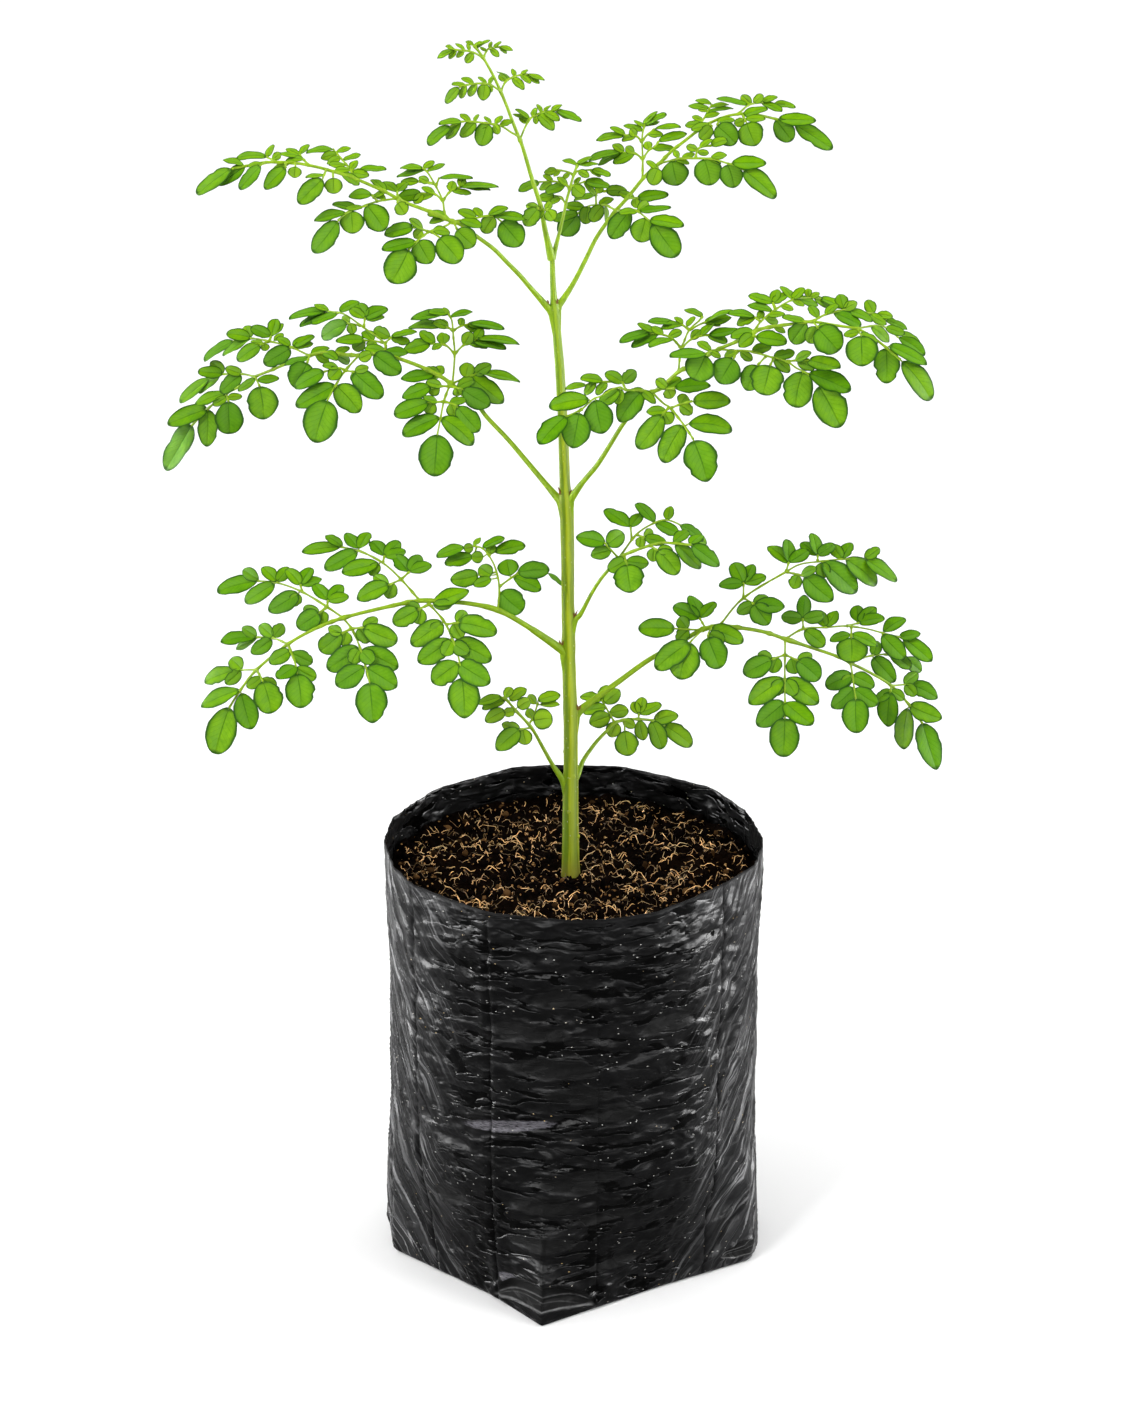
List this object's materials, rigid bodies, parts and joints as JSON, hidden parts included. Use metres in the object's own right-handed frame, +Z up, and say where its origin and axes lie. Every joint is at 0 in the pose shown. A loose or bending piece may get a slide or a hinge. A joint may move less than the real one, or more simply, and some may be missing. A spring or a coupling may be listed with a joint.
{
  "type": "potted moringa tree",
  "caption": "Young moringa plant with a slender upright stem and feathery compound fronds, growing in soil in a black film nursery bag.",
  "frame": {"origin": "middle of the bag's flat bottom, on the floor under the axis of the bag", "axes": "+Z up along the stem, -Y towards the front seen in the picture, +X to the right seen from the front"},
  "size_m": [0.3737, 0.1964, 0.6063],
  "materials": {
    "film": "glossy crinkled black film",
    "soil": "moist dark potting mix with light coir fibres",
    "stem": "smooth green bark with pale ridges",
    "leaf": "soft satin leaf"
  },
  "bodies": {
    "root": {"bag": "film", "soil": "soil", "main_stem": "stem", "frond_base_left": "leaf", "frond_base_right": "leaf", "frond_low_left": "leaf", "frond_low_right": "leaf", "frond_small_right": "leaf", "frond_mid_left": "leaf", "frond_mid_right": "leaf", "frond_high_left": "leaf", "frond_high_right": "leaf", "frond_top_small": "leaf", "frond_top": "leaf"}
  },
  "joints": []
}
